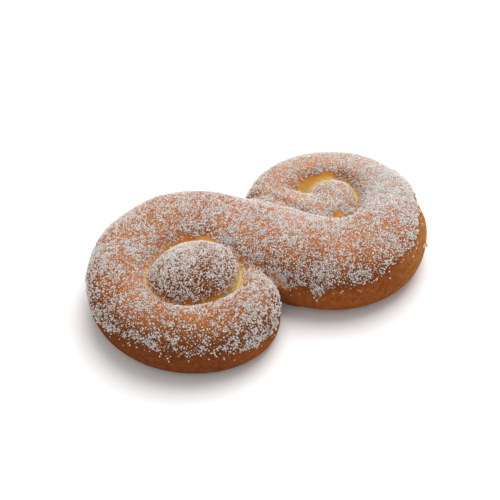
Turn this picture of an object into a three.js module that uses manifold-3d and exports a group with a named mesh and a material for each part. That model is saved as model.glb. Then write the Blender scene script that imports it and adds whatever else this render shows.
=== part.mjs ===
// A sugared pretzel pastry at life size, in millimetres. One rope of sweet yeast dough, thick in the
// middle and tapered to both ends, is wound into an S with a coil at each end. The end in the -X coil
// is pushed up through the coil's middle as a round knob; the end in the +X coil curls round a small
// open pit to a blunt tip. Coarse sugar sticks to everything but the lower edge. +X runs along the S and
// +Z is up, and the pastry rests on z = 0 with its middle over the origin.

import * as THREE from "three";
import { MeshSurfaceSampler } from "three/addons/math/MeshSurfaceSampler.js";
import { mergeVertices } from "three/addons/utils/BufferGeometryUtils.js";
import Module from "manifold-3d";

const wasm = await Module();
wasm.setup();

// ---------------------------------------------------------------- driving dimensions

// The rope where it crosses from coil to coil, and how its cross-section is rounded.
const ROPE = {
  coilHalfWidth: 22.3, // where it joins either coil
  crossingHalfWidth: 22.8, // halfway between the coils
  height: 35.5,
  waist: 0.4, // share of the height at which it is widest
  topRoundness: 2.2, // exponent of the superellipse: 2 is an ellipse, more is squarer
  heelRoundness: 2.8,
  sunk: 1.5, // how far the heel reaches below the table before it is cut flat
};

// Each arm of the S. centre and outline are the coil's outline, whose radius goes from the first value to
// the second as the rope narrows, stretch is how much longer than round it is along X and Y, and start
// and turn are angles about the centre. Over the taper's degrees of turn it narrows to endHalfWidth; its
// height drops to endHeight, at first slowly, the more so the larger droop is. From curlFrom to curlTo it
// leaves the outline and winds about curlCentre instead, from the first to the second curlRadius.
const KNOB_ARM = {
  centre: [-36, 0],
  outline: [50.2, 51.6],
  stretch: [0.02, 0.02],
  start: 45,
  turn: 379,
  taper: [60, 460],
  endHalfWidth: 4.5,
  endHeight: 24,
  droop: 1.7,
  curlFrom: 194,
  curlTo: 324,
  curlCentre: [-39.4, -15],
  curlRadius: [20.2, 20.2],
};
const PIT_ARM = {
  centre: [38.7, 0],
  outline: [48.2, 45.8],
  stretch: [0.005, -0.005],
  start: 222,
  turn: 423,
  taper: [0, 260],
  endHalfWidth: 14,
  endHeight: 31,
  droop: 1.3,
  curlFrom: 236,
  curlTo: 346,
  curlCentre: [38, 18.5],
  curlRadius: [19, 15],
};

// The rope's ends, swollen: the one that stands up in the first coil and the one in the second.
const KNOB = { centre: [-40.1, -9.1, 17.5], halfSize: [23.3, 19.4, 22], roundness: 2.3 };
const TIP = { centre: [44.5, 8, 15], halfSize: [14, 15, 17], roundness: 2.3 };

// Dough that has risen between the turns and closed the coils from below. The higher the roundness,
// the flatter its top and the steeper its sides.
const RISEN = [
  { centre: [-39.2, -11, 0], halfSize: [24, 24, 21], roundness: 5 },
  { centre: [-32, 13, 0], halfSize: [15, 15, 22], roundness: 5 },
  { centre: [38.2, 15.5, 0], halfSize: [25, 23.5, 18], roundness: 5 },
  { centre: [42, 0, 0], halfSize: [17, 17, 16], roundness: 5 },
  { centre: [22.5, 26.5, 0], halfSize: [11.5, 11.5, 32], roundness: 2.6 },
  { centre: [-48.5, 4.5, 0], halfSize: [11, 11, 30], roundness: 2.4 },
  { centre: [12, -16.5, 0], halfSize: [13, 13, 21], roundness: 2.6 },
];

// Where one turn of the rope lies on another, the lower one sinks round it: the middle and half sizes
// of what lies there, how deep the sinking is, how far out it reaches, and from where to where along
// the rope it goes, in degrees of turn, minus for the knob's arm. It comes in over SINKING degrees, and
// only above the heights of SINKING_HEIGHTS.
const PRESSED = [
  { centre: [-40.6, -9], halfSize: [20.7, 18], depth: 3.5, reach: 8, turned: [-500, -20] },
  { centre: [44.5, 8], halfSize: [12, 12.5], depth: 4, reach: 7, turned: [20, 105] },
  { centre: [44.5, 8], halfSize: [11.5, 12], depth: 3.2, reach: 3, turned: [105, 205] },
  { centre: [44.5, 8], halfSize: [12, 12.5], depth: 4, reach: 7, turned: [205, 250] },
];
const SINKING = 20;
const SINKING_HEIGHTS = [8, 24];

// Slow swellings that keep the dough from looking turned on a lathe.
const SWELLING = { depth: 0.35, lengths: [47, 37, 29], shift: 0.9 };

// The largest lumps of sugar, spread evenly over the sugared surface.
const SUGAR = {
  lumps: 130,
  radius: [0.7, 1.15],
  flatness: 0.75,
  lowest: [15, 28], // nothing sticks to the sides below this height at the -X and the +X end
  spacing: 7,
  proud: 0.25, // share of its radius by which a lump's centre stands off the dough
  seed: 7,
};

// How finely the shapes are cut into flat faces.
const SIDES = 24;
const KNOB_SIDES = 30;
const KNOB_RINGS = 16;
const RISEN_RINGS = 10;
const RING_DEGREES = 7.5;
const CROSSING_RING = 4.5;
const RUNS = 10;
const TIP_RINGS = 4;
const TIP_CLOSING = 0.92; // share of a quarter turn over which a tip is rounded
const TIP_BLUNTNESS = 0.6; // below 1 the tip's height closes later than its width
const EASING = [1, 3, 4, 3, 1];
const TABLE = 400;
const WELD = 1e-4;

const lerp = THREE.MathUtils.lerp;
const smoothstep = THREE.MathUtils.smoothstep;

// ---------------------------------------------------------------- the rope's line

// One arm as stations from the crossing to its end: place in plan, half width, height, and degrees of
// turn, which side makes negative for the knob's arm.
function armStations(arm, side) {
  const count = Math.round(arm.turn / RING_DEGREES);
  return Array.from({ length: count + 1 }, (_, i) => {
    const turned = (i / count) * arm.turn;
    const narrowed = smoothstep(turned, ...arm.taper);
    const halfWidth = lerp(ROPE.coilHalfWidth, arm.endHalfWidth, narrowed);
    const height = lerp(ROPE.height, arm.endHeight, (i / count) ** arm.droop);
    const curl = smoothstep(turned, arm.curlFrom, arm.curlTo);
    const wound = smoothstep(turned, arm.curlFrom, arm.turn);
    const outline = lerp(...arm.outline, narrowed);
    const radius = lerp(outline - halfWidth, lerp(...arm.curlRadius, wound), curl);
    const angle = THREE.MathUtils.degToRad(arm.start + turned);
    const x = lerp(arm.centre[0], arm.curlCentre[0], curl);
    const y = lerp(arm.centre[1], arm.curlCentre[1], curl);
    return {
      x: x + radius * Math.cos(angle) * (1 + arm.stretch[0]),
      y: y + radius * Math.sin(angle) * (1 + arm.stretch[1]),
      halfWidth,
      height,
      turned: turned * side,
    };
  });
}

// The straight stretch between the two arms, without its ends.
function crossingStations(from, to) {
  const count = Math.round(Math.hypot(to.x - from.x, to.y - from.y) / CROSSING_RING);
  return Array.from({ length: count - 1 }, (_, i) => {
    const t = (i + 1) / count;
    const bulge = (ROPE.crossingHalfWidth - ROPE.coilHalfWidth) * Math.sin(Math.PI * t);
    return {
      x: lerp(from.x, to.x, t),
      y: lerp(from.y, to.y, t),
      halfWidth: lerp(from.halfWidth, to.halfWidth, t) + bulge,
      height: lerp(from.height, to.height, t),
      turned: 0,
    };
  });
}

// A running mean over neighbouring stations, which eases the arms into the crossing.
function eased(stations) {
  const reach = (EASING.length - 1) / 2;
  const total = EASING.reduce((sum, weight) => sum + weight, 0);
  return stations.map((station, i) => {
    if (i < reach || i >= stations.length - reach) return station;
    const mean = { x: 0, y: 0, halfWidth: 0, height: 0, turned: 0 };
    EASING.forEach((weight, k) => {
      for (const key in mean) mean[key] += (stations[i + k - reach][key] * weight) / total;
    });
    return mean;
  });
}

// Unit vector in plan along the rope at station i.
function heading(stations, i) {
  const a = stations[Math.max(i - 1, 0)];
  const b = stations[Math.min(i + 1, stations.length - 1)];
  return new THREE.Vector2(b.x - a.x, b.y - a.y).normalize();
}

// Stations past one end that draw it to a rounded tip.
function tipStations(end, way) {
  return Array.from({ length: TIP_RINGS }, (_, k) => {
    const angle = (((k + 1) / TIP_RINGS) * TIP_CLOSING * Math.PI) / 2;
    return {
      x: end.x + way.x * end.halfWidth * Math.sin(angle),
      y: end.y + way.y * end.halfWidth * Math.sin(angle),
      halfWidth: end.halfWidth * Math.cos(angle),
      height: end.height,
      turned: end.turned,
      tip: Math.cos(angle) ** TIP_BLUNTNESS,
    };
  });
}

function ropeStations() {
  const knobArm = armStations(KNOB_ARM, -1).reverse();
  const pitArm = armStations(PIT_ARM, 1);
  const crossing = crossingStations(knobArm.at(-1), pitArm[0]);
  const rope = eased([...knobArm, ...crossing, ...pitArm]);
  const stations = [
    ...tipStations(rope[0], heading(rope, 0).negate()).reverse(),
    ...rope,
    ...tipStations(rope.at(-1), heading(rope, rope.length - 1)),
  ];
  return stations.map((station, i) => ({ ...station, way: heading(stations, i) }));
}

// ---------------------------------------------------------------- shapes

// Signed power, which turns a circle's cosine and sine into a superellipse's.
const bent = (value, roundness) => Math.sign(value) * Math.abs(value) ** (2 / roundness);

// Sinks a point of the rope, at its degrees of turn, where another turn lies on it.
function press(point, turned) {
  for (const { centre, halfSize, depth, reach, turned: [first, last] } of PRESSED) {
    const [a, b] = halfSize;
    const ratio = Math.hypot((point.x - centre[0]) / a, (point.y - centre[1]) / b);
    const outside = ((ratio - 1) * (a + b)) / 2;
    const near = 1 - smoothstep(outside, 0, reach);
    const begun = smoothstep(turned, first - SINKING, first + SINKING);
    const over = smoothstep(turned, last - SINKING, last + SINKING);
    point.z -= depth * near * begun * (1 - over) * smoothstep(point.z, ...SINKING_HEIGHTS);
  }
}

// The dough's slow unevenness: moves a point a little each way, the less the nearer the table.
function swell(point) {
  const { x, y, z } = point;
  const [a, b, c] = SWELLING.lengths.map((length) => (2 * Math.PI) / length);
  const rise = SWELLING.depth * THREE.MathUtils.clamp(z / ROPE.height, 0, 1);
  point.x += rise * Math.sin(a * y + SWELLING.shift) * Math.cos(c * z);
  point.y += rise * Math.sin(a * x - SWELLING.shift) * Math.cos(c * z);
  point.z += 2 * rise * Math.sin(a * x) * Math.sin(b * y - SWELLING.shift);
}

// A closed three.js geometry with each vertex moved by place, as a solid.
function solidOf(geometry, place) {
  const shape = geometry.clone();
  const position = shape.attributes.position;
  const point = new THREE.Vector3();
  for (let i = 0; i < position.count; i++) {
    place(point.fromBufferAttribute(position, i));
    position.setXYZ(i, point.x, point.y, point.z);
  }
  shape.deleteAttribute("normal");
  shape.deleteAttribute("uv");
  const merged = mergeVertices(shape, WELD);
  return new wasm.Manifold(
    new wasm.Mesh({
      numProp: 3,
      vertProperties: merged.attributes.position.array,
      triVerts: new Uint32Array(merged.index.array),
    }),
  );
}

function geometryOf(solid) {
  const mesh = solid.getMesh();
  const geometry = new THREE.BufferGeometry();
  geometry.setAttribute("position", new THREE.BufferAttribute(mesh.vertProperties, 3));
  geometry.setIndex(new THREE.BufferAttribute(mesh.triVerts, 1));
  geometry.computeVertexNormals();
  return geometry;
}

// A short run of the rope: a cylinder whose rings are bent to the rope's sections.
function ropeRun(run) {
  const tube = new THREE.CylinderGeometry(1, 1, 1, SIDES, run.length - 1);
  return solidOf(tube, (point) => {
    const station = run[Math.round((point.y + 0.5) * (run.length - 1))];
    const radial = Math.min(1, Math.hypot(point.x, point.z));
    const angle = Math.atan2(point.z, point.x);
    const isTop = point.z >= 0;
    const roundness = isTop ? ROPE.topRoundness : ROPE.heelRoundness;
    const waist = station.height * ROPE.waist;
    const reach = isTop ? station.height - waist : waist + ROPE.sunk;
    const across = radial * station.halfWidth * bent(Math.cos(angle), roundness);
    const up = radial * reach * bent(Math.sin(angle), roundness) * (station.tip ?? 1);
    point.set(station.x + station.way.y * across, station.y - station.way.x * across, waist + up);
    press(point, station.turned);
    swell(point);
  });
}

// The whole rope, in runs too short to meet themselves, which share their end rings.
function ropeRuns() {
  const stations = ropeStations();
  const length = Math.ceil((stations.length - 1) / RUNS);
  const runs = [];
  for (let from = 0; from < stations.length - 1; from += length) {
    runs.push(ropeRun(stations.slice(from, from + length + 1)));
  }
  return runs;
}

// A rounded block.
function pillow({ centre: [x, y, z], halfSize: [a, b, c], roundness }, sides, rings) {
  return solidOf(new THREE.SphereGeometry(1, sides, rings), (point) => {
    const width = bent(Math.hypot(point.x, point.z), roundness);
    const angle = Math.atan2(point.z, point.x);
    const up = bent(point.y, roundness);
    point.set(x + a * width * Math.cos(angle), y - b * width * Math.sin(angle), z + c * up);
    swell(point);
  });
}

// The solid without the pockets that are sealed in between its pieces: they are dough as well.
function outerSkin(solid) {
  return solid.decompose().reduce((most, body) => (body.volume() > most.volume() ? body : most));
}

function dough() {
  const ends = [KNOB, TIP].map((block) => pillow(block, KNOB_SIDES, KNOB_RINGS));
  const risen = RISEN.map((block) => pillow(block, SIDES, RISEN_RINGS));
  const above = solidOf(new THREE.BoxGeometry(TABLE, TABLE, TABLE), (point) => {
    point.z += TABLE / 2;
  });
  return outerSkin(wasm.Manifold.union([...ropeRuns(), ...ends, ...risen]).intersect(above));
}

// ---------------------------------------------------------------- sugar

// A repeatable source of numbers from 0 to 1: a Lehmer generator.
function seeded(seed) {
  const multiplier = 16807;
  const modulus = 2147483647;
  let state = seed;
  return () => {
    state = (state * multiplier) % modulus;
    return state / modulus;
  };
}

// One sharp lump about centre, turned at random.
function sugarLump(centre, radius, random) {
  const angles = [random(), random(), random()].map((share) => share * 2 * Math.PI);
  const turn = new THREE.Quaternion().setFromEuler(new THREE.Euler(...angles));
  return solidOf(new THREE.IcosahedronGeometry(radius), (point) => {
    point.z *= SUGAR.flatness;
    point.applyQuaternion(turn).add(centre);
  });
}

// Lumps sunk a little into the dough, no two closer than SUGAR.spacing.
function sugarLumps(bare) {
  const random = seeded(SUGAR.seed);
  const surface = new THREE.Mesh(geometryOf(bare));
  surface.geometry.computeBoundingBox();
  const { min, max } = surface.geometry.boundingBox;
  const sampler = new MeshSurfaceSampler(surface).setRandomGenerator(random).build();
  const place = new THREE.Vector3();
  const outward = new THREE.Vector3();
  const taken = [];
  const lumps = [];
  while (lumps.length < SUGAR.lumps) {
    sampler.sample(place, outward);
    const crowded = taken.some((other) => other.distanceTo(place) < SUGAR.spacing);
    const lowest = lerp(...SUGAR.lowest, (place.x - min.x) / (max.x - min.x));
    if (crowded || place.z < lowest) continue;
    taken.push(place.clone());
    const radius = lerp(...SUGAR.radius, random());
    const centre = place.clone().addScaledVector(outward, radius * SUGAR.proud);
    lumps.push(sugarLump(centre, radius, random));
  }
  return lumps;
}

// ---------------------------------------------------------------- the part

const bare = dough();
const geometry = geometryOf(wasm.Manifold.union([bare, ...sugarLumps(bare)]));
geometry.computeBoundingBox();
const middle = geometry.boundingBox.getCenter(new THREE.Vector3());
geometry.translate(-middle.x, -middle.y, 0);

const crust = new THREE.MeshStandardMaterial({ color: 0xc49a7c, roughness: 0.85, metalness: 0 });
const pastry = new THREE.Mesh(geometry, crust);
pastry.name = "sugar_pretzel";

const part = new THREE.Group();
part.add(pastry);

export default part;
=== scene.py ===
"""The look of a sugared pretzel pastry: soft brown dough wound into an S, under a coat of coarse sugar.

The dough repeats the sizes of the solid that it replaces, as one smooth surface with its creases,
and the sugar is made of crystals at their true size. Lengths are in millimetres until a mesh is made.
"""

import math

import bpy
import numpy as np
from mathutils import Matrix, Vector, noise
from mathutils.bvhtree import BVHTree


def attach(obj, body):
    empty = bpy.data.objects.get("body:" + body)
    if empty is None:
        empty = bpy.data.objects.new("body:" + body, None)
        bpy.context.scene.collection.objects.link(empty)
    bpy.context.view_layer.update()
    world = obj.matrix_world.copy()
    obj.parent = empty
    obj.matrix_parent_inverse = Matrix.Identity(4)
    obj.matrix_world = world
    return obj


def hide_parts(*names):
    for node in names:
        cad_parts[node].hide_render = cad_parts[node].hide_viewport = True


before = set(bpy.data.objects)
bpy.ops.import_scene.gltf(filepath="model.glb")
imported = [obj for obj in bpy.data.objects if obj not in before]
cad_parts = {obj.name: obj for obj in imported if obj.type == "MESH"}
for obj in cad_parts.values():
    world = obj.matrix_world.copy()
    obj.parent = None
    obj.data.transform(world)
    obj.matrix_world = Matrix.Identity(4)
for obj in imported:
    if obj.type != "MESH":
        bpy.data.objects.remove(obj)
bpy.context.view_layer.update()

MM = 0.001
NODE = "sugar_pretzel"

# ---------------------------------------------------------------- sizes of the dough, in millimetres

# The rope where it crosses from coil to coil, and how its cross-section is rounded.
ROPE = dict(
    coil_half_width=22.3,  # where it joins either coil
    crossing_half_width=22.8,  # halfway between the coils
    height=35.5,
    waist=0.4,  # share of the height at which it is widest
    top_roundness=2.2,  # exponent of the superellipse: 2 is an ellipse, more is squarer
    heel_roundness=2.8,
    sunk=1.5,  # how far the heel reaches below the table before it is settled on it
)
# Each arm of the S. centre and outline are the coil's outline, whose radius goes from the first value to
# the second as the rope narrows, stretch is how much longer than round it is along X and Y, and start and
# turn are angles about the centre. Over the taper's degrees of turn it narrows to end_half_width; its
# height drops to end_height, at first slowly, the more so the larger droop is. Over the curl's degrees it
# leaves the outline and winds about curl_centre instead, from the first to the second curl_radius.
KNOB_ARM = dict(
    centre=(-36, 0),
    outline=(50.2, 51.6),
    stretch=(0.02, 0.02),
    start=45,
    turn=379,
    taper=(60, 460),
    end_half_width=4.5,
    end_height=24,
    droop=1.7,
    curl=(194, 324),
    curl_centre=(-39.4, -15),
    curl_radius=(20.2, 20.2),
)
PIT_ARM = dict(
    centre=(38.7, 0),
    outline=(48.2, 45.8),
    stretch=(0.005, -0.005),
    start=222,
    turn=423,
    taper=(0, 260),
    end_half_width=14,
    end_height=31,
    droop=1.3,
    curl=(236, 346),
    curl_centre=(38, 18.5),
    curl_radius=(19, 15),
)
# The rope's ends, swollen: the one that stands up in the first coil and the one in the second.
KNOB = dict(centre=(-40.1, -9.1, 17.5), half_size=(23.3, 19.4, 22), roundness=2.3)
TIP = dict(centre=(44.5, 8, 15), half_size=(14, 15, 17), roundness=2.3)
# Dough that has risen between the turns and closed the coils from below. The higher the roundness, the
# flatter its top and the steeper its sides.
RISEN = [
    dict(centre=(-39.2, -11, 0), half_size=(24, 24, 21), roundness=5),
    dict(centre=(-32, 13, 0), half_size=(15, 15, 22), roundness=5),
    dict(centre=(38.2, 15.5, 0), half_size=(25, 23.5, 18), roundness=5),
    dict(centre=(42, 0, 0), half_size=(17, 17, 16), roundness=5),
    dict(centre=(22.5, 26.5, 0), half_size=(11.5, 11.5, 32), roundness=2.6),
    dict(centre=(-48.5, 4.5, 0), half_size=(11, 11, 30), roundness=2.4),
    dict(centre=(12, -16.5, 0), half_size=(13, 13, 21), roundness=2.6),
]
# Where one turn of the rope lies on another, the lower one sinks round it: the middle and half sizes of
# what lies there, how deep the sinking is and how far out it reaches, and from where to where along the
# rope it goes (degrees of turn, minus for the knob's arm). It comes in over SINKING degrees, and only
# above the heights of SINKING_HEIGHTS.
PRESSED = [
    dict(centre=(-40.6, -9), half_size=(20.7, 18), depth=3.5, reach=8, turned=(-500, -20)),
    dict(centre=(44.5, 8), half_size=(12, 12.5), depth=4, reach=7, turned=(20, 105)),
    dict(centre=(44.5, 8), half_size=(11.5, 12), depth=3.2, reach=3, turned=(105, 205)),
    dict(centre=(44.5, 8), half_size=(12, 12.5), depth=4, reach=7, turned=(205, 250)),
]
SINKING = 20
SINKING_HEIGHTS = (8, 24)
# Slow swellings that keep the dough from looking turned on a lathe.
SWELLING = dict(depth=0.35, lengths=(47, 37, 29), shift=0.9)
# A small torn flake that stands out from the side, and a shallow dent in the side.
FLAKE = dict(centre=(70.4, -35, 19), reach=1.2, rise=2.2)
DENT = dict(centre=(81, -12, 26), reach=7, rise=-2.2)


def arc(centre, half_size, first, last, steps=12):
    """Points in plan along an upright ellipse, between two angles in degrees."""
    (x, y), (a, b) = centre, half_size
    angles = [math.radians(first + (last - first) * k / steps) for k in range(steps + 1)]
    return [(x + a * math.cos(angle), y + b * math.sin(angle)) for angle in angles]


# The outlines in plan of the knob, of the tip and of the turn that closes the pit.
KNOB_CREASE = dict(centre=(-40.1, -9.1), half_size=(22.4, 18.7))
TIP_CREASE = dict(centre=(44.5, 8), half_size=(10.9, 11.6))
PIT = dict(centre=(42, 14), half_size=(19, 17))
KNOB_EDGE = (0.85, 1.0)  # shares of the outline between which the knob's look fades out
COIL_EDGE = (1.05, 1.3)  # shares of an outline between which the inside of a coil ends

# Creases too fine for the solid: lines in plan along which one turn tucks under another, how deep they
# are and how wide each side of the line.
CREASES = [
    dict(line=[(7, 27), (13, 18.5), (17.5, 12), (22.5, 4), (28, -4), (33, -7.5)], depth=1.3, width=1.5),
    dict(line=arc(**KNOB_CREASE, first=100, last=345), depth=2.2, width=1.1),
    dict(line=arc(**TIP_CREASE, first=-100, last=50), depth=1.0, width=1.1),
]

# Dough that the sugar missed: lines in plan, how wide it is each side of them and how pale, from golden
# brown at 0 to the pale yellow of unbaked crumb at 1.
BARE = [
    dict(line=[(-34, 12.0), (-31, 11.0), (-28, 9.2)], width=1.3, pale=0.35),
    dict(line=[(-27, 8.6), (-23.5, 5.2), (-21.8, 2.6)], width=1.3, pale=0.7),
    dict(line=arc(**KNOB_CREASE, first=140, last=185), width=0.35, pale=0.8),
    dict(line=arc(**KNOB_CREASE, first=190, last=212), width=0.8, pale=0.6),
    dict(line=arc(**KNOB_CREASE, first=-40, last=-26), width=1.1, pale=0.6),
    dict(line=arc(**KNOB_CREASE, first=-22, last=8), width=0.6, pale=0.3),
    dict(line=[(33.5, 20.8), (37, 21.6), (42, 22.0), (47, 21.6), (50, 20.4)], width=1.8, pale=0.45),
    dict(line=arc(**TIP_CREASE, first=-25, last=85), width=1.3, pale=0.7),
    dict(line=[(41.2, -4.5), (37.2, -5.7), (33, -7.5)], width=0.8, pale=0.3),
]
BARE_EDGE = (0.7, 1.4)  # shares of the width between which the sugar starts again
BARE_FRAY = [dict(size=2, share=0.5, seed=5)]  # noise that frays that edge
BARE_HEIGHTS = (14, 18)  # the dough is only bare in this way above these heights
# How pale it is away from those lines inside the coils and outside them, and from which height down, and
# over how many millimetres, it gets paler inside the coils.
PALENESS = dict(inside=0.4, outside=0.15, below=28, over=9)

# Where the sugar lies thinner or thicker: place in plan, how far it reaches, and its share of the usual.
THICKNESS = [
    dict(centre=(-21.7, 9.6), reach=5, share=0.35),
    dict(centre=(-40, 25), reach=16, share=0.75),
    dict(centre=(-52, -40), reach=20, share=0.65),
    dict(centre=(-78, -12), reach=14, share=0.75),
    dict(centre=(-82, 4), reach=10, share=0.6),
    dict(centre=(-40, -20), reach=7, share=0.6),
    dict(centre=(-40, 0), reach=12, share=1.4),
    dict(centre=(-40, -7), reach=13, share=1.3),
    dict(centre=(-66, -26), reach=12, share=0.8),
    dict(centre=(9.8, -37.5), reach=4, share=2.2),
    dict(centre=(30, -36), reach=17, share=0.6),
    dict(centre=(75, 5), reach=22, share=1.9),
    dict(centre=(50, 34), reach=20, share=1.35),
    dict(centre=(4, 20), reach=7, share=1.6),
    dict(centre=(14, 7), reach=7, share=1.6),
    dict(centre=(25, -8), reach=8, share=1.6),
    dict(centre=(66, -4), reach=12, share=1.8),
    dict(centre=(-4, -26), reach=6, share=2.2),
    dict(centre=(22, 22), reach=6, share=1.2),
    dict(centre=(20, 24), reach=8, share=0.8),
    dict(centre=(36, 3), reach=7, share=0.75),
    dict(centre=(43, 27), reach=8, share=0.6),
    dict(centre=(54, 15), reach=6, share=0.7),
]

# How finely the shapes are cut, how the arms are eased into the crossing, and how the surface round all
# the shapes is made and softened.
ARM_SAMPLES = 240
CROSSING_SAMPLES = 30
STATION_STEP = 1.2
EASING_REACH = 4.0  # how wide the running mean along the rope is
EASING_CUT = 2.5  # how many times that width it covers either way
SIDES = 72
PILLOW_RINGS = 40
TIP_RINGS = 10
TIP_CLOSING = 0.92  # share of a quarter turn over which a tip is rounded
TIP_BLUNTNESS = 0.6  # below 1 the tip's height closes later than its width
VOXEL = 0.8
SOFTENING = 8  # how many times each point moves towards its neighbours before the creases are made
CREASE_SOFTENING = 2  # and after that
TABLE_EDGE = 1.2  # height of the small rounded edge where the dough meets the table

# The lower edge of the sugar: its height over the table at places along a line that runs across the S
# at LINE_ANGLE degrees to X, and how far it wanders up and down.
LINE_ANGLE = -27.4
SUGAR_LINE = [
    (-77, 15), (-70, 14.5), (-56, 18.6), (-27, 18.8), (-14, 16), (-1, 13.7), (9, 15), (14, 17), (21, 20.3),
    (30, 19.8), (43, 21.5), (50, 21.8), (54, 23.5), (64, 26), (70, 26), (73, 27), (75, 29.2),
]
SUGAR_LINE_WANDER = 2.2
SUGAR_LINE_WAVES = [
    dict(size=9, share=0.9, seed=1),
    dict(size=4, share=0.7, seed=2),
    dict(size=1.8, share=0.45, seed=6),
]
SUGAR_LINE_FLATNESS = (1, 1, 0.3)  # how fast those waves change along X, Y and Z
# Where that edge hangs lower: place in plan, how far round it, and how much.
SUGAR_TONGUES = [
    dict(centre=(9.8, -37.5), reach=2.2, drop=6.5),
    dict(centre=(83, -3), reach=9, drop=7),
]

# Between which values each part of the look comes in: heights, heights over the sugar's edge, places
# along the line at LINE_ANGLE or places in plan in millimetres, and shares of open sky.
FADES = dict(
    # steep: where the crust is painted browner, partly a browner low crust and partly painted shade
    steep=(24, 42),  # height, raised by SLOPE where the dough faces up
    sheltered=(0.42, 0.62),  # share of open sky
    side=(-3.0, 2.0),  # height over the sugar's edge
    sugar=(-0.4, 0.8),  # height over the sugar's edge
    stray=(-7, -1),  # height over the sugar's edge
    stray_end=(-0.5, 0.5),  # height over the sugar's edge
    warm_first=(-22, 2),  # along the line
    warm_last=(58, 84),  # along the line
    touched=(78.8, 80.8),  # along the line: the side that touched a neighbour as it baked stayed pale
    blond_x=(0, 22),
    blond_y=(-20, 4),
)
SLOPE = 8
SHELTERED_SUGAR = 0.25  # share of the usual sugar that reaches the most sheltered dough
SHELTERED_FRAY = [dict(size=3, share=0.12, seed=3)]  # noise that frays the sheltered dough's edge
OPENNESS_SOFTENING = 3
STRAY_SKY = 0.4  # least share of open sky over a stray crystal

# ---------------------------------------------------------------- small mathematics


def lerp(a, b, t):
    return a + (b - a) * t


def smoothstep(x, low, high):
    t = np.clip((x - low) / (high - low), 0, 1)
    return t * t * (3 - 2 * t)


def bent(value, roundness):
    """Signed power, which turns a circle's cosine and sine into a superellipse's."""
    return np.sign(value) * np.abs(value) ** (2 / roundness)


def wander(points, size, seed):
    """Smooth noise from -1 to 1 at each point, with features of about the given size."""
    shift = Vector((seed * 17.3, seed * -9.1, seed * 5.7))
    return np.array([noise.noise(Vector(p) / size + shift) for p in points])


def waves(points, parts):
    """Several sizes of that noise together, each with its share."""
    return sum(part["share"] * wander(points, part["size"], part["seed"]) for part in parts)


# ---------------------------------------------------------------- the dough's shape


def arm_line(arm):
    """One arm from the crossing to its end, as rows of x, y, half width and height."""
    turned = np.linspace(0, arm["turn"], ARM_SAMPLES)
    narrowed = smoothstep(turned, *arm["taper"])
    half_width = lerp(ROPE["coil_half_width"], arm["end_half_width"], narrowed)
    height = lerp(ROPE["height"], arm["end_height"], (turned / arm["turn"]) ** arm["droop"])
    curl = smoothstep(turned, *arm["curl"])
    wound = smoothstep(turned, arm["curl"][0], arm["turn"])
    outline = lerp(*arm["outline"], narrowed)
    radius = lerp(outline - half_width, lerp(*arm["curl_radius"], wound), curl)
    angle = np.radians(arm["start"] + turned)
    x = lerp(arm["centre"][0], arm["curl_centre"][0], curl)
    y = lerp(arm["centre"][1], arm["curl_centre"][1], curl)
    x = x + radius * np.cos(angle) * (1 + arm["stretch"][0])
    y = y + radius * np.sin(angle) * (1 + arm["stretch"][1])
    return np.stack([x, y, half_width, height, turned], 1)


def eased(line):
    """A running mean along the rope, which eases the arms into the crossing."""
    reach = round(EASING_CUT * EASING_REACH / STATION_STEP)
    offsets = np.arange(-reach, reach + 1) * STATION_STEP / EASING_REACH
    weights = np.exp(-0.5 * offsets**2)
    weights /= weights.sum()
    before = 2 * line[0] - line[reach:0:-1]
    after = 2 * line[-1] - line[-2 : -reach - 2 : -1]
    padded = np.concatenate([before, line, after])
    return np.stack([np.convolve(column, weights, "valid") for column in padded.T], 1)


def rope_line():
    """The whole rope, at even steps."""
    knob_arm = arm_line(KNOB_ARM)[::-1] * (1, 1, 1, 1, -1)
    pit_arm = arm_line(PIT_ARM)
    t = np.linspace(0, 1, CROSSING_SAMPLES)[1:-1, None]
    crossing = lerp(knob_arm[-1], pit_arm[0], t)
    bulge = ROPE["crossing_half_width"] - ROPE["coil_half_width"]
    crossing[:, 2] += bulge * np.sin(np.pi * t[:, 0])
    line = np.concatenate([knob_arm, crossing, pit_arm])
    along = np.r_[0, np.cumsum(np.hypot(*np.diff(line[:, :2], axis=0).T))]
    even = np.arange(0, along[-1], STATION_STEP)
    return eased(np.stack([np.interp(even, along, column) for column in line.T], 1))


def tip_rows(end, way):
    """Stations past one end that draw the rope to a rounded tip, with how far each has closed."""
    angle = np.arange(1, TIP_RINGS + 1) / TIP_RINGS * TIP_CLOSING * math.pi / 2
    x, y, half_width, height, turned = end
    reach = half_width * np.sin(angle)
    closing = np.cos(angle)
    same = np.ones(TIP_RINGS)
    rows = [x + way[0] * reach, y + way[1] * reach, half_width * closing, height * same, turned * same]
    return np.stack([*rows, closing**TIP_BLUNTNESS], 1)


def pressed(points, turned):
    """Sinks the rope's top where another turn lies on it."""
    x, y, z = points.T
    for press in PRESSED:
        (cx, cy), (a, b) = press["centre"], press["half_size"]
        outside = (np.hypot((x - cx) / a, (y - cy) / b) - 1) * (a + b) / 2
        near = 1 - smoothstep(outside, 0, press["reach"])
        first, last = press["turned"]
        begun = smoothstep(turned, first - SINKING, first + SINKING)
        over = smoothstep(turned, last - SINKING, last + SINKING)
        z = z - press["depth"] * near * (begun * (1 - over)) * smoothstep(z, *SINKING_HEIGHTS)
    return np.stack([x, y, z], 1)


def swell(points):
    """The dough's slow unevenness, which fades towards the table."""
    x, y, z = points.T
    a, b, c = (2 * math.pi / length for length in SWELLING["lengths"])
    rise = SWELLING["depth"] * np.clip(z / ROPE["height"], 0, 1)
    shift = SWELLING["shift"]
    dx = rise * np.sin(a * y + shift) * np.cos(c * z)
    dy = rise * np.sin(a * x - shift) * np.cos(c * z)
    dz = 2 * rise * np.sin(a * x) * np.sin(b * y - shift)
    return points + np.stack([dx, dy, dz], 1)


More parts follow.
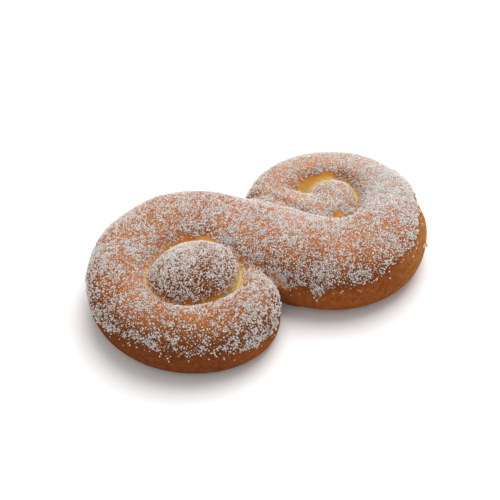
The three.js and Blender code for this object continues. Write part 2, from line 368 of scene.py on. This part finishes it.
def tube_faces(rings, sides):
    """Quads between rings of points, and a face over each end."""
    k = np.arange(sides)
    ring = np.stack([k, (k + 1) % sides, (k + 1) % sides + sides, k + sides], 1)
    quads = (ring[None] + np.arange(rings - 1)[:, None, None] * sides).reshape(-1, 4)
    last = (rings - 1) * sides
    return quads.tolist() + [list(range(sides))[::-1], list(range(last, last + sides))]


def rope_shape():
    """The rope as a closed tube."""
    line = rope_line()
    way = np.gradient(line[:, :2], axis=0)
    way /= np.linalg.norm(way, axis=1)[:, None]
    first = tip_rows(line[0], -way[0])[::-1]
    last = tip_rows(line[-1], way[-1])
    rows = np.concatenate([first, np.c_[line, np.ones(len(line))], last])
    way = np.concatenate([np.repeat(way[:1], TIP_RINGS, 0), way, np.repeat(way[-1:], TIP_RINGS, 0)])
    x, y, half_width, height, turned, tip = (column[:, None] for column in rows.T)
    angle = np.linspace(0, 2 * math.pi, SIDES, endpoint=False)[None]
    is_top = np.sin(angle) >= 0
    roundness = np.where(is_top, ROPE["top_roundness"], ROPE["heel_roundness"])
    waist = height * ROPE["waist"]
    reach = np.where(is_top, height - waist, waist + ROPE["sunk"])
    across = half_width * bent(np.cos(angle), roundness)
    up = reach * bent(np.sin(angle), roundness) * tip
    points = np.stack([x + way[:, 1:] * across, y - way[:, :1] * across, waist + up], -1)
    points = pressed(points.reshape(-1, 3), np.repeat(turned[:, 0], SIDES))
    return swell(points), tube_faces(len(rows), SIDES)


def pillow(centre, half_size, roundness):
    """A rounded block. What would reach below the table is cut off."""
    rise = np.linspace(-1, 1, PILLOW_RINGS + 2)[1:-1, None] * math.pi / 2
    angle = np.linspace(0, 2 * math.pi, SIDES, endpoint=False)[None]
    width = bent(np.cos(rise), roundness)
    x = centre[0] + half_size[0] * width * np.cos(angle)
    y = centre[1] + half_size[1] * width * np.sin(angle)
    z = centre[2] + half_size[2] * bent(np.sin(rise), roundness) + 0 * angle
    points = np.stack([x, y, np.maximum(z, -ROPE["sunk"])], -1).reshape(-1, 3)
    return swell(points), tube_faces(PILLOW_RINGS, SIDES)


def merged(shapes):
    """Several shapes as one list of points and one of faces."""
    points, faces, start = [], [], 0
    for some_points, some_faces in shapes:
        points.append(some_points)
        faces += [[index + start for index in face] for face in some_faces]
        start += len(some_points)
    return np.concatenate(points), faces


def mesh_of(name, points, faces):
    mesh = bpy.data.meshes.new(name)
    mesh.from_pydata((points * MM).tolist(), [], faces)
    mesh.update()
    return mesh


def voxel_skin(points, faces):
    """One closed surface round overlapping shapes, as points and quads."""
    mesh = mesh_of("raw", points, faces)
    raw = bpy.data.objects.new("raw", mesh)
    bpy.context.scene.collection.objects.link(raw)
    remesh = raw.modifiers.new("skin", "REMESH")
    remesh.mode = "VOXEL"
    remesh.voxel_size = VOXEL * MM
    skin = bpy.data.meshes.new_from_object(raw.evaluated_get(bpy.context.evaluated_depsgraph_get()))
    points = read(skin.vertices, "co", 3) / MM
    quads = [list(polygon.vertices) for polygon in skin.polygons]
    bpy.data.objects.remove(raw)
    bpy.data.meshes.remove(mesh)
    bpy.data.meshes.remove(skin)
    return points, quads


def read(collection, name, width):
    """One property of all the items of a collection, as rows."""
    values = np.empty(len(collection) * width, np.float32)
    collection.foreach_get(name, values)
    return values.reshape(-1, width).astype(float)


def relaxed(points, pairs, rounds, strength=0.5):
    """Each point moves towards the middle of its neighbours, again and again."""
    both = np.concatenate([pairs, pairs[:, ::-1]])
    count = np.bincount(both[:, 0], minlength=len(points))[:, None]
    for _ in range(rounds):
        middle = [np.bincount(both[:, 0], column[both[:, 1]], len(points)) for column in points.T]
        points = lerp(points, np.stack(middle, 1) / count, strength)
    return points


def settled(points):
    """Brings the sunken heel up to the table as a small rounded edge."""
    z = points[:, 2]
    low = -ROPE["sunk"]
    risen = (z - low) / (TABLE_EDGE - low) * TABLE_EDGE
    points[:, 2] = np.where(z < TABLE_EDGE, np.maximum(0, risen), z)
    return points


def line_distance(points, line):
    """Distance in plan from each point to an open line of straight pieces."""
    best = np.full(len(points), np.inf)
    for start, end in zip(np.array(line[:-1], float), np.array(line[1:], float)):
        along = end - start
        share = np.clip((points[:, :2] - start) @ along / (along @ along), 0, 1)
        best = np.minimum(best, np.hypot(*(points[:, :2] - start - share[:, None] * along).T))
    return best


def creased(points):
    """Lowers the top along each crease, less where the dough lies low."""
    drop = np.zeros(len(points))
    for crease in CREASES:
        distance = line_distance(points, crease["line"]) / crease["width"]
        drop = np.maximum(drop, crease["depth"] * np.exp(-(distance**2)))
    points[:, 2] -= drop * smoothstep(points[:, 2], *SINKING_HEIGHTS)
    return points


def nearness(points, spot):
    """1 in the middle of a spot, fading to 0 round it."""
    distance = np.linalg.norm(points - spot["centre"], axis=1) / spot["reach"]
    return np.exp(-(distance**2))


def flaked_and_dented(points):
    """Pulls the dough outwards at the torn flake and pushes it in at the dent."""
    way = points[:, :2] - PIT_ARM["centre"]
    way /= np.linalg.norm(way, axis=1)[:, None]
    for spot in (FLAKE, DENT):
        points[:, :2] += spot["rise"] * nearness(points, spot)[:, None] * way
    return points


def dough_mesh():
    """The whole dough with its middle over the origin, as one smooth mesh."""
    shapes = [rope_shape()] + [pillow(**block) for block in (KNOB, TIP, *RISEN)]
    points, quads = voxel_skin(*merged(shapes))
    mesh = mesh_of("dough", points, quads)
    pairs = np.array([edge.vertices[:] for edge in mesh.edges])
    points = relaxed(points, pairs, SOFTENING)
    points = settled(relaxed(creased(points), pairs, CREASE_SOFTENING))
    middle = (points.max(0) + points.min(0))[:2] / 2
    points = flaked_and_dented(points)
    points[:, :2] -= middle
    mesh.vertices.foreach_set("co", (points * MM).astype(np.float32).ravel())
    mesh.update()
    mesh.polygons.foreach_set("use_smooth", np.ones(len(mesh.polygons), bool))
    return mesh


# ---------------------------------------------------------------- what lies where on the dough


def hemisphere(count):
    """Directions spread evenly over the upper half sphere, more of them near the pole."""
    k = np.arange(count) + 0.5
    radius = np.sqrt(k / count)
    angle = k * math.pi * (3 - math.sqrt(5))
    return np.stack([radius * np.cos(angle), radius * np.sin(angle), np.sqrt(1 - radius**2)], 1)


def openness(mesh, points, normals, reach=16.0, rays=20, lift=0.5):
    """Share of the sky over each point that no dough within reach hides, from 0 to 1."""
    tree = BVHTree.FromPolygons(points.tolist(), [list(p.vertices) for p in mesh.polygons])
    fan = hemisphere(rays)
    side = np.cross(normals, np.where(np.abs(normals[:, :1]) > 0.8, [[0.0, 1, 0]], [[1.0, 0, 0]]))
    side /= np.linalg.norm(side, axis=1)[:, None]
    other = np.cross(normals, side)
    open_share = np.empty(len(points))
    starts = points + lift * normals
    for i in range(len(points)):
        start = Vector(starts[i])
        ways = fan @ np.stack([side[i], other[i], normals[i]])
        free = sum(tree.ray_cast(start, Vector(way), reach)[0] is None for way in ways)
        open_share[i] = free / rays
    return open_share


def across(points):
    """How far along the line at LINE_ANGLE each point is."""
    angle = math.radians(LINE_ANGLE)
    return points[:, 0] * math.cos(angle) + points[:, 1] * math.sin(angle)


def sugar_height(points):
    """Height of a point over the sugar's wandering lower edge."""
    line = np.interp(across(points), *zip(*SUGAR_LINE))
    line += SUGAR_LINE_WANDER * waves(points * SUGAR_LINE_FLATNESS, SUGAR_LINE_WAVES)
    for tongue in SUGAR_TONGUES:
        distance = np.hypot(*(points[:, :2] - tongue["centre"]).T) / tongue["reach"]
        line -= tongue["drop"] * np.exp(-(distance**2))
    return points[:, 2] - line


def bareness(points):
    """How surely the sugar missed each point, with frayed edges, and how pale it is; both 0 to 1."""
    height = points[:, 2]
    bare = np.zeros(len(points))
    pale = np.full(len(points), PALENESS["inside"])
    fray = waves(points, BARE_FRAY)
    for gap in BARE:
        distance = line_distance(points, gap["line"]) / gap["width"]
        bare = np.maximum(bare, 1 - smoothstep(distance + fray, *BARE_EDGE))
        pale = lerp(pale, gap["pale"], 1 - smoothstep(distance, 1, 3))
    inside = np.zeros(len(points))
    for coil in (KNOB_CREASE, PIT):
        inside = np.maximum(inside, 1 - smoothstep(outline_share(points, coil), *COIL_EDGE))
    pale = np.clip(pale + inside * (PALENESS["below"] - height) / PALENESS["over"], 0, 1)
    return bare * smoothstep(height, *BARE_HEIGHTS), lerp(PALENESS["outside"], pale, inside)


def outline_share(points, outline):
    """How far out from the middle of an outline each point is: 1 on the outline."""
    return np.hypot(*((points[:, :2] - outline["centre"]) / outline["half_size"]).T)


def on_knob(points):
    """1 on the knob and 0 outside it. The whole knob is painted deep brown, as painted shade for its
    front, which faces away from the light.
    """
    return 1 - smoothstep(outline_share(points, KNOB_CREASE), *KNOB_EDGE)


def thickness(points):
    """How thick the sugar lies at each point, 1 being the usual."""
    share = np.ones(len(points))
    for patch in THICKNESS:
        near = np.exp(-((np.hypot(*(points[:, :2] - patch["centre"]).T) / patch["reach"]) ** 2))
        share *= lerp(1, patch["share"], near)
    return share


def survey(mesh):
    """Stores on the dough how open, how baked, where shade is painted and how sugared it is at each point.
    """
    points = read(mesh.vertices, "co", 3) / MM
    normals = read(mesh.vertices, "normal", 3)
    pairs = np.array([edge.vertices[:] for edge in mesh.edges])
    wide = openness(mesh, points, normals)
    wide = relaxed(wide[:, None], pairs, OPENNESS_SOFTENING)[:, 0]
    over = sugar_height(points)
    bare, pale = bareness(points)
    knob = on_knob(points)
    # Low and sideways-facing dough is painted browner: partly a browner low crust, partly painted shade
    # away from the light.
    steep = 1 - smoothstep(points[:, 2] + SLOPE * normals[:, 2], *FADES["steep"])
    sheltered = smoothstep(wide + waves(points, SHELTERED_FRAY), *FADES["sheltered"])
    along = across(points)
    warm = 0.5 * smoothstep(along, *FADES["warm_first"]) + 0.5 * smoothstep(along, *FADES["warm_last"])
    blond = smoothstep(points[:, 0], *FADES["blond_x"]) * smoothstep(points[:, 1], *FADES["blond_y"])
    sugar = smoothstep(over, *FADES["sugar"]) * lerp(SHELTERED_SUGAR, 1, sheltered) * (1 - bare)
    fields = dict(
        open=wide,
        bare=bare,
        pale=pale,
        knob=knob,
        side=1 - smoothstep(over, *FADES["side"]),
        # Painted shade: the whole knob, and partly the steep dough, are painted deep brown.
        low=np.maximum(steep, knob),
        steep=steep,
        warm=warm,
        blond=blond,
        torn=nearness(points, FLAKE),
        touched=smoothstep(along, *FADES["touched"]),
        sugar=sugar,
    )
    for name, values in fields.items():
        attribute = mesh.attributes.new(name, "FLOAT", "POINT")
        attribute.data.foreach_set("value", values.astype(np.float32))
    return points, normals, fields


# ---------------------------------------------------------------- sugar

CUBE = dict(
    corners=[(x, y, z) for x in (-1, 1) for y in (-1, 1) for z in (-1, 1)],
    faces=[(0, 1, 3), (0, 3, 2), (4, 6, 7), (4, 7, 5), (0, 4, 5), (0, 5, 1),
           (2, 3, 7), (2, 7, 6), (0, 2, 6), (0, 6, 4), (1, 5, 7), (1, 7, 3)],
)
OCTAHEDRON = dict(
    corners=[(1.3, 0, 0), (-1.3, 0, 0), (0, 1.3, 0), (0, -1.3, 0), (0, 0, 1.3), (0, 0, -1.3)],
    faces=[(0, 2, 4), (2, 1, 4), (1, 3, 4), (3, 0, 4), (2, 0, 5), (1, 2, 5), (3, 1, 5), (0, 3, 5)],
)
TETRAHEDRON = dict(
    corners=[(1, 1, 1), (1, -1, -1), (-1, 1, -1), (-1, -1, 1)],
    faces=[(0, 1, 2), (0, 3, 1), (0, 2, 3), (1, 3, 2)],
)

# Each kind of sugar: how many crystals, their shape, their half size, how high they may pile up, how
# strongly they gather in clumps, how white they are, from 0 to 1, and how many stick to the sides, as a
# share of what lies on top.
SUGAR_KINDS = {
    "sugar_bed": dict(
        count=12500, form=OCTAHEDRON, half_size=(0.18, 0.28), pile=0.05, clump=0.4, tone=0.25, sides=0.45
    ),
    "sugar_fine": dict(
        count=14000, form=OCTAHEDRON, half_size=(0.15, 0.24), pile=0.2, clump=0.6, tone=0.45, sides=0.5
    ),
    "sugar_coarse": dict(
        count=17000, form=OCTAHEDRON, half_size=(0.26, 0.4), pile=0.25, clump=0.8, tone=0.6, sides=0.85
    ),
    "sugar_cubes": dict(
        count=13500, form=CUBE, half_size=(0.18, 0.29), pile=0.4, clump=0.9, tone=0.75, sides=1.0
    ),
    "sugar_shards": dict(
        count=13000, form=TETRAHEDRON, half_size=(0.14, 0.24), pile=0.15, clump=0.3, tone=0.35, sides=0.55
    ),
    "sugar_stray": dict(
        count=150, form=CUBE, half_size=(0.18, 0.3), pile=0.0, clump=0.0, tone=0.7, sides=1.0
    ),
}
# The clumps, small ones in larger patches: their noise, between which of its values they begin, how much
# thicker than usual the sugar lies in them, and how strong they are on top, as a share of the sides.
CLUMP_WAVES = [
    dict(size=2.3, share=0.7, seed=4),
    dict(size=6.9, share=0.4, seed=7),
]
CLUMPED = (-0.15, 0.35)
CLUMP_GAIN = 1.7
CLUMP_ON_TOP = 0.75
# How the crystals pile up: between which values of the clumps' noise, and how much more, and over which
# height, along the sugar's lower edge.
PILED = (-0.3, 0.5)
EDGE_PILE = 1.2
EDGE_PILE_HEIGHT = 4
PROUD = 0.3  # share of its half size by which a crystal's middle stands off what it lies on
# How uneven the crystals are: their length, width and height, and the place of each corner.
CRYSTAL_STRETCH = (0.7, 1.3)
CRYSTAL_BEND = 0.18
TONE_SPREAD = 0.2
TONE_OF_HEIGHT = 0.3  # how much whiter a crystal is for each millimetre that it lies higher
SUGAR_SEED = 11


def random_turns(rng, count):
    """Rotation matrices spread evenly over all turns."""
    q = rng.normal(size=(count, 4))
    w, x, y, z = (q / np.linalg.norm(q, axis=1)[:, None]).T
    rows = [
        [1 - 2 * (y * y + z * z), 2 * (x * y - z * w), 2 * (x * z + y * w)],
        [2 * (x * y + z * w), 1 - 2 * (x * x + z * z), 2 * (y * z - x * w)],
        [2 * (x * z - y * w), 2 * (y * z + x * w), 1 - 2 * (x * x + y * y)],
    ]
    return np.array(rows).transpose(2, 0, 1)


def scatter(rng, count, triangles, points, normals, weights):
    """Points drawn over the triangles in proportion to their area and weight, with their normals."""
    corners = points[triangles]
    area = np.linalg.norm(np.cross(corners[:, 1] - corners[:, 0], corners[:, 2] - corners[:, 0]), axis=1)
    chance = area * weights[triangles].mean(1)
    chosen = rng.choice(len(triangles), count, p=chance / chance.sum())
    share = rng.dirichlet((1, 1, 1), count)[:, :, None]
    place = (corners[chosen] * share).sum(1)
    normal = (normals[triangles[chosen]] * share).sum(1)
    return place, normal / np.linalg.norm(normal, axis=1)[:, None]


def crystals(name, form, half_sizes, places, tones, rng):
    """One mesh of many crystals, each bent a little out of true and turned at random."""
    corners = np.array(form["corners"], float)
    count = len(places)
    shape = corners[None] * rng.uniform(*CRYSTAL_STRETCH, (count, 1, 3))
    shape = shape + rng.uniform(-CRYSTAL_BEND, CRYSTAL_BEND, (count, len(corners), 3))
    shape = np.einsum("nij,nkj->nki", random_turns(rng, count), shape)
    verts = shape * half_sizes[:, None, None] + places[:, None]
    faces = np.array(form["faces"])[None] + (np.arange(count) * len(corners))[:, None, None]
    faces = faces.reshape(-1, 3)
    mesh = bpy.data.meshes.new(name)
    mesh.vertices.add(count * len(corners))
    mesh.vertices.foreach_set("co", (verts * MM).astype(np.float32).ravel())
    mesh.loops.add(faces.size)
    mesh.loops.foreach_set("vertex_index", faces.astype(np.int32).ravel())
    mesh.polygons.add(len(faces))
    mesh.polygons.foreach_set("loop_start", (np.arange(len(faces)) * 3).astype(np.int32))
    mesh.update(calc_edges=True)
    tone = mesh.attributes.new("tone", "FLOAT", "POINT")
    tone.data.foreach_set("value", np.repeat(tones, len(corners)).astype(np.float32))
    return mesh


def coat_weights(kind, points, clumps, fields):
    """How likely a crystal of one kind is to lie at each point."""
    clump = kind["clump"] * lerp(CLUMP_ON_TOP, 1.0, fields["steep"])
    gathered = lerp(1, smoothstep(clumps, *CLUMPED) * CLUMP_GAIN, clump)
    return fields["sugar"] * gathered * thickness(points) * lerp(1, kind["sides"], fields["steep"])


def stray_weights(points, fields):
    """The same for the single crystals that stick to the bare side below the sugar's edge."""
    over = sugar_height(points)
    below = smoothstep(over, *FADES["stray"]) * (1 - smoothstep(over, *FADES["stray_end"]))
    return below * (fields["open"] > STRAY_SKY)


def pile_heights(rng, kind, places):
    """How high over the dough each crystal lies."""
    height = rng.uniform(0, 1, len(places)) * kind["pile"]
    height *= smoothstep(waves(places, CLUMP_WAVES), *PILED)
    over = np.clip(sugar_height(places), 0, None)
    return height * (1 + EDGE_PILE * np.exp(-over / EDGE_PILE_HEIGHT))


def sugar_meshes(mesh, points, normals, fields):
    """One mesh for each kind of sugar."""
    mesh.calc_loop_triangles()
    triangles = read(mesh.loop_triangles, "vertices", 3).astype(int)
    clumps = waves(points, CLUMP_WAVES)
    rng = np.random.default_rng(SUGAR_SEED)
    made = []
    for name, kind in SUGAR_KINDS.items():
        if name == "sugar_stray":
            weights = stray_weights(points, fields)
        else:
            weights = coat_weights(kind, points, clumps, fields)
        place, normal = scatter(rng, kind["count"], triangles, points, normals, weights)
        half = rng.uniform(*kind["half_size"], kind["count"])
        height = pile_heights(rng, kind, place)
        place = place + normal * (height + PROUD * half)[:, None]
        tones = rng.normal(kind["tone"], TONE_SPREAD, kind["count"]) + TONE_OF_HEIGHT * height
        made.append(crystals(name, kind["form"], half, place, np.clip(tones, 0, 1), rng))
    return made


# ---------------------------------------------------------------- materials


class Nodes:
    """Adds nodes to one material's tree in short calls."""

    def __init__(self, name):
        self.material = bpy.data.materials.new(name)
        self.material.use_nodes = True
        self.tree = self.material.node_tree
        self.shader = self.tree.nodes["Principled BSDF"]

    def add(self, kind, inputs=None, **settings):
        node = self.tree.nodes.new(kind)
        for key, value in settings.items():
            setattr(node, key, value)
        for key, value in (inputs or {}).items():
            self.set(node.inputs[key], value)
        return node

    def set(self, socket, value):
        if isinstance(value, bpy.types.NodeSocket):
            self.tree.links.new(value, socket)
        else:
            socket.default_value = value

    def attribute(self, name):
        return self.add("ShaderNodeAttribute", attribute_name=name).outputs["Fac"]

    def noise(self, size, detail=2.0, roughness=0.5):
        """Noise with features of about the given size in millimetres."""
        where = self.add("ShaderNodeTexCoord").outputs["Object"]
        scale = 1 / (size * MM)
        inputs = {"Vector": where, "Scale": scale, "Detail": detail, "Roughness": roughness}
        return self.add("ShaderNodeTexNoise", inputs).outputs["Fac"]

    def math(self, operation, a, b=0.0, c=0.0):
        return self.add("ShaderNodeMath", {0: a, 1: b, 2: c}, operation=operation).outputs[0]

    def step(self, value, low, high, to_low=0.0, to_high=1.0):
        inputs = {"Value": value, "From Min": low, "From Max": high, "To Min": to_low, "To Max": to_high}
        node = self.add("ShaderNodeMapRange", inputs, interpolation_type="SMOOTHSTEP")
        return node.outputs["Result"]

    def ramp(self, value, stops):
        node = self.add("ShaderNodeValToRGB", {"Fac": value})
        elements = node.color_ramp.elements
        while len(elements) < len(stops):
            elements.new(0.5)
        for element, (position, colour) in zip(elements, stops):
            element.position = position
            element.color = linear(colour)
        return node.outputs["Color"]

    def mix(self, share, a, b, kind="MIX"):
        node = self.add("ShaderNodeMix", data_type="RGBA", blend_type=kind)
        for socket, value in zip((node.inputs[0], node.inputs[6], node.inputs[7]), (share, a, b)):
            self.set(socket, value)
        return node.outputs[2]

    def finish(self, colour, roughness, bump=None):
        self.set(self.shader.inputs["Base Color"], colour)
        self.set(self.shader.inputs["Roughness"], roughness)
        if bump is not None:
            self.set(self.shader.inputs["Normal"], bump)
        return self.material


def linear(colour):
    """A colour of three numbers from 0 to 255, as screens show it, in the shader's linear values."""
    shares = [value / 255 for value in colour]
    return [s / 12.92 if s <= 0.04045 else ((s + 0.055) / 1.055) ** 2.4 for s in shares] + [1.0]


def top_colour(nodes, mottle):
    """Golden brown in large patches, blond at the back of the right coil, browner on steep dough, partly
    as painted shade.
    """
    patches = nodes.noise(16, 3)
    golden = nodes.ramp(patches, [(0.35, (144, 82, 38)), (0.65, (171, 103, 54))])
    blond = nodes.ramp(patches, [(0.35, (174, 117, 76)), (0.65, (198, 142, 102))])
    # Deep brown for the low mask: painted shade on the knob, and partly painted shade on steep dough.
    brown = nodes.ramp(mottle, [(0.3, (90, 43, 17)), (0.7, (118, 62, 27))])
    golden = nodes.mix(nodes.attribute("blond"), golden, blond)
    return nodes.mix(nodes.attribute("low"), golden, brown)


def creased_colour(nodes, crust):
    """The crust with orange to pale yellow dough where it is sheltered or bare."""
    shifted = nodes.math("ADD", nodes.attribute("pale"), -0.3)
    depth = nodes.math("MULTIPLY_ADD", nodes.noise(1.4, 3), 0.6, shifted)
    crease = nodes.ramp(depth, [(0.1, (206, 118, 46)), (0.5, (204, 152, 74)), (0.9, (202, 180, 118))])
    is_open = nodes.step(nodes.attribute("open"), 0.45, 0.8)
    outer = nodes.math("MAXIMUM", is_open, nodes.attribute("knob"))
    return nodes.mix(nodes.attribute("bare"), nodes.mix(outer, crease, crust), crease)


def side_colour(nodes, mottle):
    """The bare lower edge, which gets lighter towards the right end, with fine flecks."""
    tones = [(0.0, (124, 70, 40)), (0.5, (149, 85, 45)), (1.0, (184, 128, 76))]
    shade = nodes.ramp(mottle, [(0.3, (206, 194, 178)), (0.7, (255, 255, 255))])
    edge = nodes.mix(1.0, nodes.ramp(nodes.attribute("warm"), tones), shade, "MULTIPLY")
    flecks = nodes.step(nodes.noise(1.1, 4, 0.6), 0.6, 0.72, 0, 0.4)
    return nodes.mix(flecks, edge, linear((186, 134, 84)))


def torn_colour(nodes, mottle, colour):
    """The given colour with pale crumb where the side touched a neighbour and on the torn flake."""
    frayed = nodes.math("MULTIPLY_ADD", nodes.noise(5, 5, 0.65), 2.0, -1.0)
    spot = nodes.step(nodes.math("ADD", nodes.attribute("touched"), frayed), 0.3, 1.0, 0, 0.65)
    crumb = nodes.ramp(mottle, [(0.3, (190, 132, 68)), (0.7, (222, 178, 104))])
    colour = nodes.mix(spot, colour, crumb)
    torn = nodes.step(nodes.attribute("torn"), 0.2, 0.5)
    return nodes.mix(torn, colour, linear((208, 186, 124)))


def crust_material():
    """Crust that is golden on top, deep brown on the bare lower edge and pale yellow in the creases."""
    nodes = Nodes("crust")
    mottle = nodes.noise(2.2, 4, 0.6)
    crust = creased_colour(nodes, top_colour(nodes, mottle))
    colour = nodes.mix(nodes.attribute("side"), crust, side_colour(nodes, mottle))
    colour = torn_colour(nodes, mottle, colour)
    sugar = nodes.attribute("sugar")
    dust = nodes.math("MULTIPLY", sugar, nodes.step(nodes.noise(0.5, 2), 0.48, 0.62))
    colour = nodes.mix(nodes.math("MULTIPLY", dust, 0.12), colour, linear((210, 170, 140)))
    rough = nodes.step(sugar, 0, 1, 0.45, 0.8)
    height = nodes.math("MULTIPLY_ADD", nodes.noise(0.6, 3), 0.3, nodes.math("MULTIPLY", mottle, 0.5))
    bump_inputs = {"Strength": 0.35, "Distance": 0.3 * MM, "Height": height}
    bump = nodes.add("ShaderNodeBump", bump_inputs).outputs["Normal"]
    nodes.shader.inputs["Specular IOR Level"].default_value = 0.0
    return nodes.finish(colour, rough, bump)


def sugar_material():
    """Clear to milky crystals, warmer where they lie low on the crust."""
    nodes = Nodes("sugar")
    tone = nodes.attribute("tone")
    colour = nodes.ramp(tone, [(0.0, (192, 144, 112)), (0.45, (205, 186, 175)), (1.0, (220, 215, 214))])
    nodes.shader.inputs["Specular IOR Level"].default_value = 0.5
    nodes.shader.inputs["Subsurface Weight"].default_value = 0.8
    nodes.shader.inputs["Subsurface Radius"].default_value = (0.0008, 0.0007, 0.0006)
    nodes.shader.inputs["Subsurface Scale"].default_value = 1.0
    return nodes.finish(colour, 0.25)


def floor_material():
    nodes = Nodes("floor")
    nodes.shader.inputs["Base Color"].default_value = (0.9, 0.9, 0.9, 1)
    nodes.shader.inputs["Roughness"].default_value = 0.9
    nodes.shader.inputs["Specular IOR Level"].default_value = 0.1
    return nodes.material


# ---------------------------------------------------------------- pieces, floor, light and camera


def piece(name, mesh, material):
    thing = bpy.data.objects.new(name, mesh)
    mesh.materials.append(material)
    bpy.context.scene.collection.objects.link(thing)
    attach(thing, "root")
    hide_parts(NODE)
    return thing


def build_pastry():
    dough = dough_mesh()
    points, normals, fields = survey(dough)
    piece("dough", dough, crust_material())
    sugar = sugar_material()
    for mesh in sugar_meshes(dough, points, normals, fields):
        piece(mesh.name, mesh, sugar)


def build_floor(size=2.0):
    corners = [(-size, -size, 0), (size, -size, 0), (size, size, 0), (-size, size, 0)]
    mesh = bpy.data.meshes.new("floor")
    mesh.from_pydata(corners, [], [(0, 1, 2, 3)])
    mesh.materials.append(floor_material())
    floor = bpy.data.objects.new("floor", mesh)
    bpy.context.scene.collection.objects.link(floor)


# The camera as the photo's perspective gives it: angles in degrees, lengths in metres.
CAMERA = dict(azimuth=-27.4, elevation=44.5, distance=0.55, target=(-0.00356, 0.00424, 0.01541))
FOCAL_PIXELS = 1138
PICTURE_PIXELS = 500
SENSOR_WIDTH = 36

# Soft round lights that look at the origin: place and size in metres, power in watts.
LIGHTS = dict(
    key=dict(place=(0.26, 0.22, 0.8), size=0.8, power=8.0),
    fill=dict(place=(-0.5, -0.6, 0.6), size=0.8, power=1.0),
)
SKY = dict(colour=(1, 0.99, 0.97, 1), strength=0.58)


def build_camera():
    azimuth = math.radians(CAMERA["azimuth"])
    elevation = math.radians(CAMERA["elevation"])
    level = math.cos(elevation)
    back = Vector((math.sin(azimuth) * level, -math.cos(azimuth) * level, math.sin(elevation)))
    data = bpy.data.cameras.new("camera")
    data.sensor_width = SENSOR_WIDTH
    data.lens = FOCAL_PIXELS / PICTURE_PIXELS * SENSOR_WIDTH
    data.clip_start = 0.01
    camera = bpy.data.objects.new("camera", data)
    camera.location = Vector(CAMERA["target"]) + back * CAMERA["distance"]
    camera.rotation_euler = back.to_track_quat("Z", "Y").to_euler()
    bpy.context.scene.collection.objects.link(camera)
    bpy.context.scene.camera = camera


def area_light(name, place, size, power):
    data = bpy.data.lights.new(name, "AREA")
    data.shape = "DISK"
    data.size = size
    data.energy = power
    light = bpy.data.objects.new(name, data)
    light.location = place
    light.rotation_euler = Vector(place).to_track_quat("Z", "Y").to_euler()
    bpy.context.scene.collection.objects.link(light)


def build_light():
    for name, light in LIGHTS.items():
        area_light(name, **light)
    world = bpy.data.worlds.new("world")
    world.use_nodes = True
    background = world.node_tree.nodes["Background"]
    background.inputs["Color"].default_value = SKY["colour"]
    background.inputs["Strength"].default_value = SKY["strength"]
    bpy.context.scene.world = world
    bpy.context.scene.view_settings.view_transform = "Standard"


build_camera()
build_light()
build_floor()
build_pastry()
